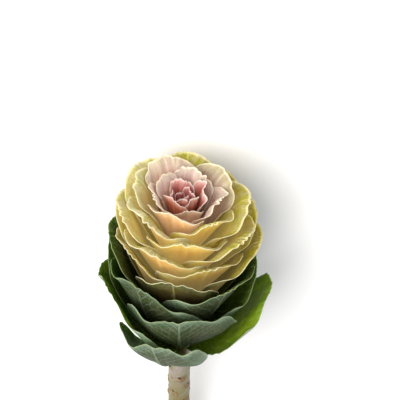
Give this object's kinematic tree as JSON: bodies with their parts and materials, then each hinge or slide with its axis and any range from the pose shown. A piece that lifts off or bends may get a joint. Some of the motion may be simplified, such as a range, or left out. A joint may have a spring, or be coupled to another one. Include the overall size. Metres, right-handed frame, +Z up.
{
  "type": "flowering kale",
  "caption": "Cut stem of ornamental kale with a rose-like head: crumpled pink heart, blush and cream ruffled leaves, and cupped green outer leaves, lying on its side.",
  "frame": {"origin": "on the surface it lies on, under the middle of the plant's box", "axes": "+Z up from the surface, +Y along the stem to its cut end, -Y to the head's face"},
  "size_m": [0.1588, 0.4517, 0.1448],
  "materials": {
    "stem_skin": "pale green-cream skin ringed with brown-edged leaf scars",
    "pink_heart": "satin, deep pink with pale pink rims",
    "blush_leaf": "satin, pale blush with cream rims",
    "cream_leaf": "satin, cream to amber yellow with pale ruffled rims",
    "green_leaf": "waxy green with pale veins and a grey-green outer face"
  },
  "bodies": {
    "root": {"stem": "stem_skin", "heart": "pink_heart", "blush_leaf_01": "blush_leaf", "blush_leaf_02": "blush_leaf", "blush_leaf_03": "blush_leaf", "blush_leaf_04": "blush_leaf", "blush_leaf_05": "blush_leaf", "blush_leaf_06": "blush_leaf", "blush_leaf_07": "blush_leaf", "blush_leaf_08": "blush_leaf", "cream_leaf_01": "cream_leaf", "cream_leaf_02": "cream_leaf", "cream_leaf_03": "cream_leaf", "cream_leaf_04": "cream_leaf", "cream_leaf_05": "cream_leaf", "cream_leaf_06": "cream_leaf", "cream_leaf_07": "cream_leaf", "cream_leaf_08": "cream_leaf", "cream_leaf_09": "cream_leaf", "cream_leaf_10": "cream_leaf", "cream_leaf_11": "cream_leaf", "cream_leaf_12": "cream_leaf", "cream_leaf_13": "cream_leaf", "cream_leaf_14": "cream_leaf", "cream_leaf_15": "cream_leaf", "cream_leaf_16": "cream_leaf", "cream_leaf_17": "cream_leaf", "cream_leaf_18": "cream_leaf", "cream_leaf_19": "cream_leaf", "cream_leaf_20": "cream_leaf", "green_leaf_01": "green_leaf", "green_leaf_02": "green_leaf", "green_leaf_03": "green_leaf", "green_leaf_04": "green_leaf", "green_leaf_05": "green_leaf", "green_leaf_06": "green_leaf", "green_leaf_07": "green_leaf", "green_leaf_08": "green_leaf", "green_leaf_09": "green_leaf", "green_leaf_10": "green_leaf", "green_leaf_11": "green_leaf", "green_leaf_12": "green_leaf", "green_leaf_13": "green_leaf"}
  },
  "joints": []
}
